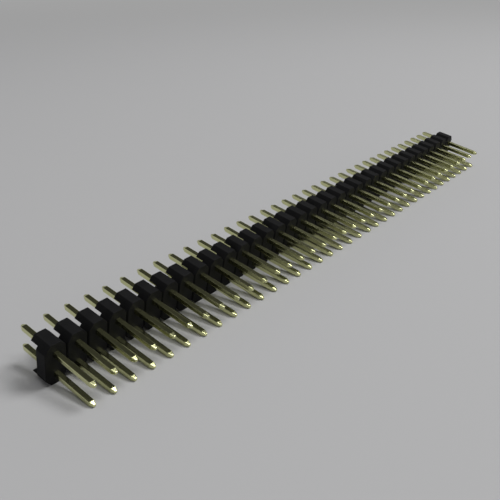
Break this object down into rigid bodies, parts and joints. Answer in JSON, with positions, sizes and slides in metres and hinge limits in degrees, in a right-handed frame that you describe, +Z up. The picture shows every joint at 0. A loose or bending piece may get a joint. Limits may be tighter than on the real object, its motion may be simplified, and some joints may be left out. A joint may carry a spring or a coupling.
{
  "type": "pin header strip",
  "caption": "Straight pin header strip: notched black moulded housing with an open channel in its board side, square gold-plated pins pressed through it in rows, lying on its side.",
  "frame": {"origin": "under the middle of the strip's box, on the surface that it lies on", "axes": "+X along the strip, +Z up, and +Y the way the short solder tails point, seen from above. The long mating pins point towards -Y and lean down by the lean of the strip."},
  "size_m": [0.0914, 0.0116, 0.0054],
  "materials": {
    "moulding": "black glass-filled PBT, as moulded, low sheen",
    "pin_metal": "gold-flash-plated brass wire, smooth and bright"
  },
  "bodies": {
    "root": {"housing": "moulding", "pin_column_01": "pin_metal", "pin_column_02": "pin_metal", "pin_column_03": "pin_metal", "pin_column_04": "pin_metal", "pin_column_05": "pin_metal", "pin_column_06": "pin_metal", "pin_column_07": "pin_metal", "pin_column_08": "pin_metal", "pin_column_09": "pin_metal", "pin_column_10": "pin_metal", "pin_column_11": "pin_metal", "pin_column_12": "pin_metal", "pin_column_13": "pin_metal", "pin_column_14": "pin_metal", "pin_column_15": "pin_metal", "pin_column_16": "pin_metal", "pin_column_17": "pin_metal", "pin_column_18": "pin_metal", "pin_column_19": "pin_metal", "pin_column_20": "pin_metal", "pin_column_21": "pin_metal", "pin_column_22": "pin_metal", "pin_column_23": "pin_metal", "pin_column_24": "pin_metal", "pin_column_25": "pin_metal", "pin_column_26": "pin_metal", "pin_column_27": "pin_metal", "pin_column_28": "pin_metal", "pin_column_29": "pin_metal", "pin_column_30": "pin_metal", "pin_column_31": "pin_metal", "pin_column_32": "pin_metal", "pin_column_33": "pin_metal", "pin_column_34": "pin_metal", "pin_column_35": "pin_metal", "pin_column_36": "pin_metal"}
  },
  "joints": []
}
